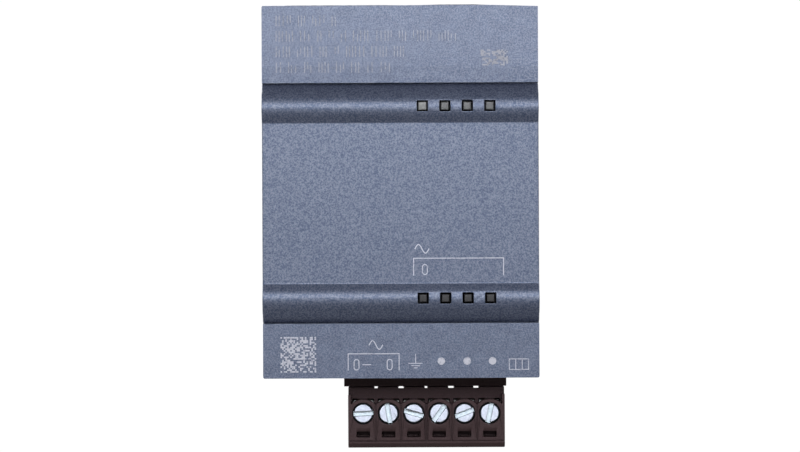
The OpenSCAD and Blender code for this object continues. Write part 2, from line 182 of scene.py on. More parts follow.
def flatRegions(bm):
    # groups of faces that lie in one plane, each with its normal, its area and whether it is wide
    bm.normal_update()
    nearly = math.cos(math.radians(edgeRules["samePlane"]))
    regionOf, regions = {}, []
    for seed in sorted(bm.faces, key=lambda face: -face.calc_area()):
        if seed in regionOf:
            continue
        regionOf[seed] = len(regions)
        stack, total, area, rim = [seed], Vector(), 0.0, 0.0
        while stack:
            face = stack.pop()
            size = face.calc_area()
            total += face.normal * size
            area += size
            for edge in face.edges:
                others = [other for other in edge.link_faces if other is not face]
                flat = len(others) == 1 and (
                    others[0].normal.dot(seed.normal) > nearly or isSliver(others[0]))
                if not flat:
                    rim += edge.calc_length()
                elif others[0] not in regionOf:
                    regionOf[others[0]] = len(regions)
                    stack.append(others[0])
        normal = total.normalized() if total.length > 0 else seed.normal.copy()
        regions.append((normal, area, rim > 0 and 2 * area / rim > edgeRules["faceWide"]))
    return regionOf, regions


def settleNormals(piece):
    # wide flat faces keep one normal all over, and the narrow faces of a curve blend between them
    mesh = piece.data
    bm = bmesh.new()
    bm.from_mesh(mesh)
    regionOf, regions = flatRegions(bm)
    near = math.cos(math.radians(edgeRules["nextFace"]))
    far = math.cos(math.radians(edgeRules["sameCurve"]))
    cornerNormals = []
    for face in bm.faces:
        own, _, wide = regions[regionOf[face]]
        for vert in face.verts:
            if wide:
                cornerNormals.append(own)
                continue
            seen, queue = {face}, [face]
            while queue:
                here = queue.pop()
                for edge in here.edges:
                    if vert not in edge.verts or not edge.smooth or len(edge.link_faces) != 2:
                        continue
                    for other in edge.link_faces:
                        if other not in seen and regions[regionOf[other]][0].dot(own) > far:
                            seen.add(other)
                            queue.append(other)
            around = [regions[index] for index in {regionOf[other] for other in seen}]
            anchors = [r for r in around if r[2] and r[0].dot(own) > near]
            if anchors:
                cornerNormals.append(max(anchors, key=lambda r: r[0].dot(own))[0])
                continue
            blend = Vector()
            for normal, area, _ in around:
                blend += normal * area
            cornerNormals.append(blend.normalized() if blend.length > 0 else own)
    bm.free()
    mesh.normals_split_custom_set(cornerNormals)


def softCopy(nodeName, width, segments=2, centred=False, crispBands=()):
    # a copy of a part with rounded edges, which stands in its place
    low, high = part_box(nodeName)
    origin = (low + high) / 2 if centred else Vector((0, 0, 0))
    body = nodes[nodeName]["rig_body"]
    piece = pieceFromMesh(nodeName + "_soft", bareCopy(nodeName), body, origin)
    softenEdges(piece, width, segments, crispBands=crispBands)
    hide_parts(nodeName)
    return piece


# Shader groups that several finishes share.
def addSocket(tree, name, kind, output=False, value=None):
    socket = tree.interface.new_socket(
        name=name, in_out="OUTPUT" if output else "INPUT", socket_type=kind)
    if value is not None:
        socket.default_value = value
    return socket


def startGroup(name):
    tree = bpy.data.node_groups.new(name, "ShaderNodeTree")
    entry = tree.nodes.new("NodeGroupInput")
    leave = tree.nodes.new("NodeGroupOutput")
    entry.location = (-900, 0)
    leave.location = (600, 0)
    return tree, entry, leave


def mathNode(tree, operation, a=None, b=None, c=None, clamp=False):
    node = tree.nodes.new("ShaderNodeMath")
    node.operation = operation
    node.use_clamp = clamp
    for index, value in enumerate((a, b, c)):
        if value is None:
            continue
        if isinstance(value, (int, float)):
            node.inputs[index].default_value = value
        else:
            tree.links.new(value, node.inputs[index])
    return node.outputs[0]


def rangeNode(tree, value, low, high, toLow=0.0, toHigh=1.0):
    node = tree.nodes.new("ShaderNodeMapRange")
    node.clamp = True
    node.interpolation_type = "SMOOTHSTEP"
    tree.links.new(value, node.inputs["Value"])
    node.inputs["From Min"].default_value = low
    node.inputs["From Max"].default_value = high
    node.inputs["To Min"].default_value = toLow
    node.inputs["To Max"].default_value = toHigh
    return node.outputs["Result"]


def noiseNode(tree, vector, scale, detail=2.0, roughness=0.5):
    node = tree.nodes.new("ShaderNodeTexNoise")
    tree.links.new(vector, node.inputs["Vector"])
    if isinstance(scale, (int, float)):
        node.inputs["Scale"].default_value = scale
    else:
        tree.links.new(scale, node.inputs["Scale"])
    node.inputs["Detail"].default_value = detail
    node.inputs["Roughness"].default_value = roughness
    return node.outputs["Fac"]


# each noise is given as its scale, detail and roughness, and a span is where its mask starts and ends
grainShape = {
    "fine": (3.0, 0.75), "fineSpan": (0.34, 0.66), "fineShare": 0.65,  # its scale is an input
    "pitScale": 0.8, "pitSmooth": 0.4, "pitShare": 0.5,
    "cloud": (160.0, 3.0, 0.55), "cloudSpan": (0.3, 0.7),
}


def buildGrain():
    # spark-eroded mould texture: bright and dark specks with a slow cloud under them
    tree, entry, leave = startGroup("Moulded Grain")
    addSocket(tree, "Vector", "NodeSocketVector")
    addSocket(tree, "Scale", "NodeSocketFloat", value=2900.0)
    addSocket(tree, "Speckle", "NodeSocketFloat", output=True)
    addSocket(tree, "Cloud", "NodeSocketFloat", output=True)
    addSocket(tree, "Height", "NodeSocketFloat", output=True)
    vector, scale = entry.outputs["Vector"], entry.outputs["Scale"]
    fine = noiseNode(tree, vector, scale, *grainShape["fine"])
    pits = tree.nodes.new("ShaderNodeTexVoronoi")
    pits.feature = "SMOOTH_F1"
    tree.links.new(vector, pits.inputs["Vector"])
    tree.links.new(mathNode(tree, "MULTIPLY", scale, grainShape["pitScale"]), pits.inputs["Scale"])
    pits.inputs["Smoothness"].default_value = grainShape["pitSmooth"]
    cloud = noiseNode(tree, vector, *grainShape["cloud"])
    speck = rangeNode(tree, fine, *grainShape["fineSpan"])
    height = mathNode(tree, "ADD", mathNode(tree, "MULTIPLY", fine, grainShape["fineShare"]),
                      mathNode(tree, "MULTIPLY", pits.outputs["Distance"], grainShape["pitShare"]))
    tree.links.new(speck, leave.inputs["Speckle"])
    tree.links.new(rangeNode(tree, cloud, *grainShape["cloudSpan"]), leave.inputs["Cloud"])
    tree.links.new(height, leave.inputs["Height"])
    return tree


wearShape = {"edgeSpan": (0.53, 0.62), "breaks": (700.0, 3.0, 0.7), "breakSpan": (0.4, 0.62)}


def buildWear():
    # rubbed edges, broken up by noise
    tree, entry, leave = startGroup("Edge Wear")
    addSocket(tree, "Vector", "NodeSocketVector")
    addSocket(tree, "Amount", "NodeSocketFloat", value=0.5)
    addSocket(tree, "Mask", "NodeSocketFloat", output=True)
    geometry = tree.nodes.new("ShaderNodeNewGeometry")
    edge = rangeNode(tree, geometry.outputs["Pointiness"], *wearShape["edgeSpan"])
    breaks = noiseNode(tree, entry.outputs["Vector"], *wearShape["breaks"])
    rubbed = mathNode(tree, "MULTIPLY", edge, rangeNode(tree, breaks, *wearShape["breakSpan"]))
    tree.links.new(mathNode(tree, "MULTIPLY", rubbed, entry.outputs["Amount"], clamp=True),
                   leave.inputs["Mask"])
    return tree


dustShape = {"upwardSpan": (0.5, 1.0), "patches": (420.0, 4.0, 0.65), "patchSpan": (0.35, 0.75)}


def buildDust():
    # a thin film on the faces that look up
    tree, entry, leave = startGroup("Settled Dust")
    addSocket(tree, "Vector", "NodeSocketVector")
    addSocket(tree, "Amount", "NodeSocketFloat", value=0.3)
    addSocket(tree, "Mask", "NodeSocketFloat", output=True)
    geometry = tree.nodes.new("ShaderNodeNewGeometry")
    split = tree.nodes.new("ShaderNodeSeparateXYZ")
    tree.links.new(geometry.outputs["Normal"], split.inputs[0])
    upward = rangeNode(tree, split.outputs["Z"], *dustShape["upwardSpan"])
    patches = noiseNode(tree, entry.outputs["Vector"], *dustShape["patches"])
    film = mathNode(tree, "MULTIPLY", upward, rangeNode(tree, patches, *dustShape["patchSpan"]))
    tree.links.new(mathNode(tree, "MULTIPLY", film, entry.outputs["Amount"], clamp=True),
                   leave.inputs["Mask"])
    return tree


metalShape = {"streaks": (2400.0, 4.0, 0.6), "blotches": (900.0, 3.0, 0.6), "span": (0.3, 0.7)}


def buildMetalGrain():
    # drawn or turned metal: streaks along one axis and soft blotches
    tree, entry, leave = startGroup("Metal Grain")
    addSocket(tree, "Vector", "NodeSocketVector")
    addSocket(tree, "Stretch", "NodeSocketVector", value=(1.0, 1.0, 1.0))
    addSocket(tree, "Streaks", "NodeSocketFloat", output=True)
    addSocket(tree, "Blotches", "NodeSocketFloat", output=True)
    stretch = tree.nodes.new("ShaderNodeVectorMath")
    stretch.operation = "MULTIPLY"
    tree.links.new(entry.outputs["Vector"], stretch.inputs[0])
    tree.links.new(entry.outputs["Stretch"], stretch.inputs[1])
    streaks = noiseNode(tree, stretch.outputs[0], *metalShape["streaks"])
    blotches = noiseNode(tree, entry.outputs["Vector"], *metalShape["blotches"])
    tree.links.new(rangeNode(tree, streaks, *metalShape["span"]), leave.inputs["Streaks"])
    tree.links.new(rangeNode(tree, blotches, *metalShape["span"]), leave.inputs["Blotches"])
    return tree


grainGroup = buildGrain()
wearGroup = buildWear()
dustGroup = buildDust()
metalGroup = buildMetalGrain()
print("stage 2: shader groups ready")


# Finishes, each from a dictionary of its look.
def startFinish(name):
    material = bpy.data.materials.new(name)
    material.use_nodes = True
    tree = material.node_tree
    shader = tree.nodes["Principled BSDF"]
    coords = tree.nodes.new("ShaderNodeTexCoord")
    return material, tree, shader, coords.outputs["Object"]


def placeGroup(tree, group, vector, **values):
    node = tree.nodes.new("ShaderNodeGroup")
    node.node_tree = group
    tree.links.new(vector, node.inputs["Vector"])
    for name, value in values.items():
        node.inputs[name].default_value = value
    return node.outputs


def blendColours(tree, factor, first, second):
    node = tree.nodes.new("ShaderNodeMix")
    node.data_type = "RGBA"
    tree.links.new(factor, node.inputs["Factor"])
    for socket, value in ((node.inputs[6], first), (node.inputs[7], second)):
        if isinstance(value, tuple):
            socket.default_value = (*value, 1.0)
        else:
            tree.links.new(value, socket)
    return node.outputs[2]


def bumpFrom(tree, shader, height, strength, distance):
    bump = tree.nodes.new("ShaderNodeBump")
    bump.inputs["Strength"].default_value = strength
    bump.inputs["Distance"].default_value = distance
    tree.links.new(height, bump.inputs["Height"])
    tree.links.new(bump.outputs["Normal"], shader.inputs["Normal"])


def mouldedPlastic(name, look):
    material, tree, shader, vector = startFinish(name)
    grain = placeGroup(tree, grainGroup, vector, Scale=look["grainScale"])
    wear = placeGroup(tree, wearGroup, vector, Amount=look["wear"])
    dust = placeGroup(tree, dustGroup, vector, Amount=look["dust"])
    colour = blendColours(tree, grain["Speckle"], look["dark"], look["light"])
    colour = blendColours(tree, mathNode(tree, "MULTIPLY", grain["Cloud"], look["cloudShare"]),
                          colour, look["cloud"])
    colour = blendColours(tree, wear["Mask"], colour, look["rubbed"])
    colour = blendColours(tree, dust["Mask"], colour, look["dustTone"])
    tree.links.new(colour, shader.inputs["Base Color"])
    rough = rangeNode(tree, grain["Speckle"], 0.0, 1.0, *look["rough"])
    dull = mathNode(tree, "MULTIPLY", dust["Mask"], look["dustDull"])
    tree.links.new(mathNode(tree, "ADD", rough, dull), shader.inputs["Roughness"])
    bumpFrom(tree, shader, grain["Height"], look["bump"], look["bumpDepth"])
    sparkle = rangeNode(tree, grain["Speckle"], 0.0, 1.0, 0.0, look["sparkle"])
    tree.links.new(sparkle, shader.inputs["Coat Weight"])
    shader.inputs["Coat Roughness"].default_value = look["rough"][0]
    shader.inputs["Coat IOR"].default_value = look["coatIor"]
    shader.inputs["IOR"].default_value = look["ior"]
    shader.inputs["Specular IOR Level"].default_value = look["gloss"]
    shader.inputs["Specular Tint"].default_value = (*look["glossTint"], 1.0)
    return material


def metalFinish(name, look):
    material, tree, shader, vector = startFinish(name)
    grain = placeGroup(tree, metalGroup, vector, Stretch=look["stretch"])
    wear = placeGroup(tree, wearGroup, vector, Amount=look["wear"])
    colour = blendColours(tree, grain["Streaks"], look["dark"], look["light"])
    colour = blendColours(tree, mathNode(tree, "MULTIPLY", grain["Blotches"], look["stainShare"]),
                          colour, look["stain"])
    colour = blendColours(tree, wear["Mask"], colour, look["bright"])
    tree.links.new(colour, shader.inputs["Base Color"])
    tree.links.new(rangeNode(tree, grain["Blotches"], 0.0, 1.0, *look["rough"]), shader.inputs["Roughness"])
    shader.inputs["Metallic"].default_value = 1.0
    bumpFrom(tree, shader, grain["Streaks"], look["bump"], look["bumpDepth"])
    return material


housingLook = {
    "dark": (0.015, 0.019, 0.034), "light": (0.037, 0.044, 0.075), "cloud": (0.030, 0.035, 0.058),
    "cloudShare": 0.25, "rubbed": (0.13, 0.15, 0.20), "dustTone": (0.22, 0.22, 0.24), "dustDull": 0.25,
    "grainScale": 4600.0, "wear": 0.2, "dust": 0.12, "rough": (0.45, 0.53),
    "bump": 0.35, "bumpDepth": 0.00005, "ior": 1.6, "gloss": 1.0, "glossTint": (0.55, 0.69, 1.0),
    "sparkle": 1.0, "coatIor": 1.9,
}
rearLook = dict(housingLook, dark=(0.036, 0.043, 0.066), light=(0.068, 0.079, 0.112),
                cloud=(0.055, 0.062, 0.086), grainScale=3600.0, bump=0.4, sparkle=0.4)
terminalLook = dict(
    housingLook, dark=(0.013, 0.0068, 0.0066), light=(0.023, 0.0130, 0.0128),
    cloud=(0.019, 0.0108, 0.0106), rubbed=(0.06, 0.046, 0.046), dustTone=(0.12, 0.10, 0.10),
    grainScale=5200.0, wear=0.5, dust=0.15, rough=(0.42, 0.54), bump=0.25, bumpDepth=0.00003,
    ior=1.45, gloss=0.30, glossTint=(1.0, 0.74, 0.76), sparkle=0.05, coatIor=1.4)
# a lighter copy of the terminal plastic for the plug's front faces: painted light, which leaves the recess
# darker as painted shade
plugLitLook = dict(terminalLook, dark=(0.023, 0.0128, 0.0124), light=(0.038, 0.0220, 0.0215),
                cloud=(0.031, 0.0180, 0.0178), gloss=0.42, sparkle=0.12)
connectorLook = dict(terminalLook, dark=(0.010, 0.010, 0.011), light=(0.020, 0.020, 0.021),
                     cloud=(0.016, 0.016, 0.017), glossTint=(1.0, 1.0, 1.0))
chipLook = dict(connectorLook, grainScale=5200.0, rough=(0.5, 0.65), bump=0.3)
ferriteLook = dict(chipLook, dark=(0.03, 0.03, 0.032), light=(0.07, 0.07, 0.075),
                   rough=(0.55, 0.75), bump=0.6)
ledLook = dict(chipLook, dark=(0.62, 0.58, 0.42), light=(0.80, 0.77, 0.62), cloud=(0.7, 0.68, 0.5))
ceramicLook = dict(chipLook, dark=(0.26, 0.17, 0.10), light=(0.38, 0.27, 0.17), cloud=(0.3, 0.2, 0.13))

zincLook = {
    "dark": (0.62, 0.66, 0.74), "light": (0.76, 0.80, 0.88), "stain": (0.60, 0.61, 0.70),
    "stainShare": 0.35, "bright": (0.84, 0.88, 0.93), "stretch": (1.0, 1.0, 1.0), "wear": 0.3,
    "rough": (0.42, 0.54), "bump": 0.15, "bumpDepth": 0.00001,
}
nickelLook = dict(zincLook, dark=(0.42, 0.41, 0.39), light=(0.62, 0.61, 0.58), stain=(0.45, 0.43, 0.40),
                  stretch=(1.0, 0.08, 1.0))
tinLook = dict(zincLook, dark=(0.55, 0.55, 0.55), light=(0.78, 0.78, 0.77), stain=(0.6, 0.6, 0.6))
goldLook = dict(zincLook, dark=(0.66, 0.44, 0.16), light=(0.86, 0.62, 0.26), stain=(0.6, 0.4, 0.16),
                bright=(0.95, 0.75, 0.4), stretch=(1.0, 0.08, 1.0), rough=(0.2, 0.36))
alloyLook = dict(goldLook, dark=(0.48, 0.44, 0.34), light=(0.66, 0.62, 0.50), stain=(0.5, 0.42, 0.3))
copperLook = dict(goldLook, dark=(0.42, 0.15, 0.06), light=(0.62, 0.27, 0.12), stain=(0.4, 0.16, 0.08),
                  stretch=(1.0, 0.15, 1.0))
# a brighter, bluer copy of the zinc for the slot floor: a painted highlight
slotHighlightLook = dict(zincLook, dark=(0.70, 0.80, 0.84), light=(0.86, 0.94, 0.97), stain=(0.70, 0.80, 0.86),
                     bright=(0.9, 0.95, 0.97), rough=(0.5, 0.62))
# a dark copy of the zinc for the slot walls: painted shade
slotShadeLook = dict(zincLook, dark=(0.10, 0.12, 0.13), light=(0.20, 0.23, 0.25), stain=(0.12, 0.13, 0.14),
                    bright=(0.3, 0.33, 0.35), rough=(0.5, 0.7))
canLook = dict(zincLook, dark=(0.6, 0.6, 0.62), light=(0.8, 0.8, 0.82), stretch=(1.0, 0.06, 1.0))


def lightGuideFinish(name, look):
    # cloudy clear plastic with a paler core
    material, tree, shader, vector = startFinish(name)
    grain = placeGroup(tree, grainGroup, vector, Scale=look["grainScale"])
    colour = blendColours(tree, grain["Speckle"], look["dark"], look["light"])
    tree.links.new(colour, shader.inputs["Base Color"])
    tree.links.new(rangeNode(tree, grain["Cloud"], 0.0, 1.0, *look["rough"]), shader.inputs["Roughness"])
    bumpFrom(tree, shader, grain["Height"], look["bump"], look["bumpDepth"])
    shader.inputs["Subsurface Weight"].default_value = look["milk"]
    shader.inputs["Subsurface Radius"].default_value = look["scatter"]
    shader.inputs["Subsurface Scale"].default_value = 1.0
    shader.inputs["IOR"].default_value = look["ior"]
    shader.inputs["Coat Weight"].default_value = look["coat"]
    shader.inputs["Coat Roughness"].default_value = look["coatRough"]
    return material


clearGuideLook = {
    "dark": (0.085, 0.085, 0.082), "light": (0.14, 0.14, 0.135), "rough": (0.4, 0.55),
    "grainScale": 1500.0, "bump": 0.2, "bumpDepth": 0.00003, "milk": 0.2,
    "scatter": (0.0006, 0.0006, 0.0006), "ior": 1.49, "coat": 0.2, "coatRough": 0.25,
}
# a paler copy for the first head: painted glow
firstGuideGlowLook = dict(clearGuideLook, dark=(0.19, 0.19, 0.18), light=(0.31, 0.31, 0.29))
smokeGuideLook = dict(clearGuideLook, dark=(0.012, 0.011, 0.0105), light=(0.026, 0.024, 0.023),
                      rough=(0.35, 0.5), milk=0.1, coat=0.1)

laminateLook = {
    "mask": (0.010, 0.085, 0.040), "maskToo": (0.014, 0.105, 0.050), "track": (0.030, 0.170, 0.085),
    "trackScale": 260.0, "trackWide": 0.03, "weave": (0.02, 0.14, 0.07), "weaveShare": 0.3,
    "grainScale": 2200.0, "dust": 0.2, "dustTone": (0.2, 0.22, 0.2), "rough": (0.25, 0.4),
    "bump": 0.3, "bumpDepth": 0.00003, "coat": 0.4, "coatRough": 0.15,
}


def laminateFinish(name, look):
    # solder mask with pale weave under it and tracks that stand a little proud
    material, tree, shader, vector = startFinish(name)
    grain = placeGroup(tree, grainGroup, vector, Scale=look["grainScale"])
    dust = placeGroup(tree, dustGroup, vector, Amount=look["dust"])
    tracks = tree.nodes.new("ShaderNodeTexBrick")
    tree.links.new(vector, tracks.inputs["Vector"])
    tracks.inputs["Scale"].default_value = look["trackScale"]
    tracks.inputs["Mortar Size"].default_value = look["trackWide"]
    for socketName, tone in (("Color1", "mask"), ("Color2", "maskToo"), ("Mortar", "track")):
        tracks.inputs[socketName].default_value = (*look[tone], 1.0)
    colour = blendColours(tree, mathNode(tree, "MULTIPLY", grain["Speckle"], look["weaveShare"]),
                          tracks.outputs["Color"], look["weave"])
    colour = blendColours(tree, dust["Mask"], colour, look["dustTone"])
    tree.links.new(colour, shader.inputs["Base Color"])
    tree.links.new(rangeNode(tree, grain["Cloud"], 0.0, 1.0, *look["rough"]), shader.inputs["Roughness"])
    bumpFrom(tree, shader, tracks.outputs["Fac"], look["bump"], look["bumpDepth"])
    shader.inputs["Coat Weight"].default_value = look["coat"]
    shader.inputs["Coat Roughness"].default_value = look["coatRough"]
    return material


paleInkLook = {
    "ink": (0.50, 0.50, 0.54), "worn": (0.16, 0.18, 0.24), "wornShare": 0.6, "wornBelow": 0.45,
    "grainScale": 2900.0, "rough": (0.55, 0.7), "bump": 0.3, "bumpDepth": 0.00003,
}
faintInkLook = dict(paleInkLook, ink=(0.35, 0.35, 0.38), worn=(0.09, 0.10, 0.14), wornShare=0.85)


def inkFinish(name, look):
    # thin pale print that the grain of the plastic breaks up
    material, tree, shader, vector = startFinish(name)
    grain = placeGroup(tree, grainGroup, vector, Scale=look["grainScale"])
    gaps = rangeNode(tree, grain["Speckle"], look["wornBelow"], 0.0, 0.0, look["wornShare"])
    tree.links.new(blendColours(tree, gaps, look["ink"], look["worn"]), shader.inputs["Base Color"])
    tree.links.new(rangeNode(tree, grain["Cloud"], 0.0, 1.0, *look["rough"]), shader.inputs["Roughness"])
    bumpFrom(tree, shader, grain["Height"], look["bump"], look["bumpDepth"])
    return material


finishes = {
    "housing_plastic": mouldedPlastic("slate housing plastic", housingLook),
    "rear_plastic": mouldedPlastic("dark rear plastic", rearLook),
    "light_guide_clear": lightGuideFinish("clear light guide", clearGuideLook),
    "light_guide_smoke": lightGuideFinish("smoked light guide", smokeGuideLook),
    "board_laminate": laminateFinish("green laminate", laminateLook),
    "led_body": mouldedPlastic("ivory lamp body", ledLook),
    "terminal_plastic": mouldedPlastic("brown black terminal plastic", terminalLook),
    "connector_plastic": mouldedPlastic("black connector plastic", connectorLook),
    "tinned_pin": metalFinish("tinned pin", tinLook),
    "gold_pin": metalFinish("gold flashed pin", goldLook),
    "chip_plastic": mouldedPlastic("black chip plastic", chipLook),
    "ferrite": mouldedPlastic("sintered ferrite", ferriteLook),
    "copper_winding": metalFinish("enamelled copper", copperLook),
    "capacitor_can": metalFinish("drawn can", canLook),
    "ceramic": mouldedPlastic("fired ceramic", ceramicLook),
    "contact_alloy": metalFinish("sprung contact alloy", alloyLook),
    "screw_steel": metalFinish("bluish zinc", zincLook),
    "cage_steel": metalFinish("nickel cage", nickelLook),
}
firstGuideGlow = lightGuideFinish("pale light guide painted glow", firstGuideGlowLook)
plugLitPlastic = mouldedPlastic("brown plug plastic painted lit", plugLitLook)
slotFloorHighlight = metalFinish("slot floor painted highlight", slotHighlightLook)
slotWallShade = metalFinish("slot wall painted shade", slotShadeLook)
paleInk = inkFinish("pale print", paleInkLook)
faintInk = inkFinish("faint print", faintInkLook)
print("stage 3: finishes ready")


def dress(piece, material):
    piece.data.materials.clear()
    piece.data.materials.append(material)


for nodeName, part in nodes.items():
    if not part.material_slots:
        part.data.materials.append(finishes[slotOf[nodeName]])
    for place in part.material_slots:
        place.material = finishes[slotOf[nodeName]]

softWidths = {
    "front_cover": 0.16 * mm, "rear_cover": 0.18 * mm, "plug_housing": 0.12 * mm,
    "terminal_header": 0.12 * mm, "board_connector": 0.08 * mm, "board_connector_pins": 0.12 * mm,
}
grooveBands = ((14.7, 15.1), (16.9, 17.2), (-18.2, -17.8))  # heights of the front cover's grooves
paintedLightDepth = -14.6 * mm  # the screw face gets a lighter copy of the plastic as painted light, and the recess behind it stays darker as painted shade
for nodeName, width in softWidths.items():
    bands = grooveBands if nodeName == "front_cover" else ()
    softPiece = softCopy(nodeName, width, crispBands=bands)
    dress(softPiece, finishes[slotOf[nodeName]])
    if nodeName == "plug_housing":
        softPiece.data.materials.append(plugLitPlastic)
        for polygon in softPiece.data.polygons:
            # faces in front of this depth get the painted light, and the recess keeps the darker plastic as
            # painted shade
            if polygon.center.y < paintedLightDepth:
                polygon.material_index = 1

# the last two say how squarely a face of the slot looks to the front
screwShape = {
    "round": 0.055 * mm, "headReach": 1.45 * mm, "faceDepth": 0.15 * mm, "slotDepth": 0.7 * mm,
    "floorFacing": -0.9, "wallFacing": -0.95,
}


def dressScrew(piece):
    # the head is bright, the floor of its slot gets a painted highlight and the slot's walls get painted
    # shade
    dress(piece, finishes["screw_steel"])
    piece.data.materials.append(slotFloorHighlight)
    piece.data.materials.append(slotWallShade)
    front = min(vert.co.y for vert in piece.data.vertices)
    reach = screwShape["headReach"] ** 2
    for polygon in piece.data.polygons:
        centre, normal = polygon.center, polygon.normal
        depth = centre.y - front
        if depth > screwShape["slotDepth"] or centre.x ** 2 + centre.z ** 2 > reach:
            continue
        if normal.y < screwShape["floorFacing"] and depth > screwShape["faceDepth"]:
            # painted highlight on the slot floor
            polygon.material_index = 1
        elif normal.y > screwShape["wallFacing"]:
            # painted shade on the slot walls
            polygon.material_index = 2


for nodeName in sorted(nodes):
    if nodeName.startswith("clamp_screw_"):
        dressScrew(softCopy(nodeName, screwShape["round"], centred=True))
print("stage 4: softened copies ready")


# Light guides with rounded heads. The first head has a paler material of its own, a painted glow.
guideShape = {"headRound": 0.16 * mm, "segments": 3, "firstWide": 2.2 * mm, "headDeep": 2.5 * mm}


def guidePieces(nodeName, firstMaterial, otherMaterial):
    piece = pieceFromMesh(nodeName + "_soft", bareCopy(nodeName), "module")
    softenEdges(piece, guideShape["headRound"], guideShape["segments"])
    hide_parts(nodeName)
    piece.data.materials.append(otherMaterial)
    piece.data.materials.append(firstMaterial)
    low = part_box(nodeName)[0]
    edge, back = low.x + guideShape["firstWide"], low.y + guideShape["headDeep"]
    for polygon in piece.data.polygons:
        if polygon.center.x < edge and polygon.center.y < back:
            polygon.material_index = 1


guidePieces("upper_light_guide", firstGuideGlow, finishes["light_guide_clear"])
guidePieces("lower_light_guide", finishes["light_guide_smoke"], finishes["light_guide_smoke"])
print("stage 5: light guides ready")


# Print on the panels, as thin strokes just in front of the plastic. Its sizes are in millimetres.
printShape = {
    "upperDepth": 19.55, "middleDepth": 20.15, "lift": 0.012, "thick": 0.02,
    "stroke": 0.13, "fineStroke": 0.11, "capShare": 0.35, "leastMitre": 0.5,
    "dotTurns": 18, "ovalTurns": 24, "waveTurns": 16, "waveHigh": 0.6,
    "cellInset": 0.33, "cellWide": 0.92,
}


def ribbon(bm, points, depth, width, closed=False):
    # a flat stroke along points given across and in height, in millimetres
    count = len(points)
    left, right = [], []
    for i, point in enumerate(points):
        here = Vector(point)
        before = Vector(points[i - 1]) if (i > 0 or closed) else None
        after = Vector(points[(i + 1) % count]) if (i < count - 1 or closed) else None
        entering = (here - before).normalized() if before is not None else None
        leaving = (after - here).normalized() if after is not None else entering
        if entering is None:
            entering = leaving
        along = (entering + leaving)
        along = along.normalized() if along.length > 1e-6 else entering
        side = Vector((-along.y, along.x))
        square = abs(side.dot(Vector((-entering.y, entering.x))))
        reach = width / 2 / max(printShape["leastMitre"], square)
        if before is None:
            here = here - along * width * printShape["capShare"]
        if after is None:
            here = here + along * width * printShape["capShare"]
        left.append(here + side * reach)
        right.append(here - side * reach)
    front = -(depth + printShape["lift"]) * mm
    back = -(depth - printShape["thick"]) * mm
    rows = [[bm.verts.new((p.x * mm, y, p.y * mm)) for p in line]
            for line, y in ((left, front), (right, front), (left, back), (right, back))]
    spans = range(count if closed else count - 1)
    for i in spans:
        j = (i + 1) % count
        bm.faces.new((rows[0][i], rows[1][i], rows[1][j], rows[0][j]))
        bm.faces.new((rows[2][i], rows[0][i], rows[0][j], rows[2][j]))
        bm.faces.new((rows[1][i], rows[3][i], rows[3][j], rows[1][j]))
    if not closed:
        for i in (0, count - 1):
            bm.faces.new((rows[0][i], rows[2][i], rows[3][i], rows[1][i]))


def dot(bm, x, z, radius, depth):
    steps = printShape["dotTurns"]
    front = -(depth + printShape["lift"]) * mm
    back = -(depth - printShape["thick"]) * mm
    ring, foot = [], []
    for i in range(steps):
        angle = 2 * math.pi * i / steps
        across, up = (x + radius * math.cos(angle)) * mm, (z + radius * math.sin(angle)) * mm
        ring.append(bm.verts.new((across, front, up)))
        foot.append(bm.verts.new((across, back, up)))
    bm.faces.new(ring)
    for i in range(steps):
        j = (i + 1) % steps
        bm.faces.new((ring[i], foot[i], foot[j], ring[j]))


def oval(bm, x, z, halfWide, halfHigh, depth, width):
    # a nought: two straight sides joined by round ends
    turns = printShape["ovalTurns"]
    points = []
    for i in range(turns):
        angle = 2 * math.pi * i / turns
        bulge = (halfHigh - halfWide) * (1 if math.sin(angle) > 0 else -1)
        points.append((x + halfWide * math.cos(angle), z + bulge + halfWide * math.sin(angle)))
    ribbon(bm, points, depth, width, closed=True)


def bracket(bm, left, right, top, foot, depth, width, closed=False):
    ribbon(bm, [(left, foot), (left, top), (right, top), (right, foot)], depth, width, closed)


def waveSign(bm, left, level, step, depth, width):
    # one whole wave, from left to right
    turns, high = printShape["waveTurns"], printShape["waveHigh"]
    points = [(left + step * i, level + high * math.sin(i / turns * 2 * math.pi)) for i in range(turns + 1)]
    ribbon(bm, points, depth, width)


tallyShape = {
    "high": 1.4, "group": (2, 6), "heights": (1.0, 1.0, 0.68), "drops": (0.0, 1.0),
    "steps": (0.42, 0.42, 0.56), "gap": 0.7, "margin": 0.5,
}


def tallyRow(bm, draw, x, end, z, depth, width):
    # a line of plain upright ticks in groups, with no letters in it
    high = tallyShape["high"]
    while x < end - tallyShape["margin"]:
        for _ in range(draw.randint(*tallyShape["group"])):
            if x > end:
                break
            tall = high * draw.choice(tallyShape["heights"])
            drop = draw.choice(tallyShape["drops"]) * (high - tall)
            top = z + high / 2 - drop
            ribbon(bm, [(x, top), (x, top - tall)], depth, width)
            x += draw.choice(tallyShape["steps"])
        x += tallyShape["gap"]


def cellBlock(bm, draw, block, depth):
    # a block of random cells, joined along each row
    cell, columns = block["cell"], block["columns"]
    inset, width = cell * printShape["cellInset"], cell * printShape["cellWide"]
    for row in range(block["rows"]):
        filled = [draw.random() < block["fill"] for _ in range(columns)]
        start = None
        for column in range(columns + 1):
            on = column < columns and filled[column]
            if on and start is None:
                start = column
            if not on and start is not None:
                left, right = block["left"] + start * cell, block["left"] + column * cell
                level = block["foot"] + (row + 0.5) * cell
                ribbon(bm, [(left + inset, level), (right - inset, level)], depth, width)
                start = None


def finishPrint(name, bm, ink):
    bmesh.ops.recalc_face_normals(bm, faces=bm.faces[:])
    dress(pieceFromMesh(name, bm, "module"), ink)


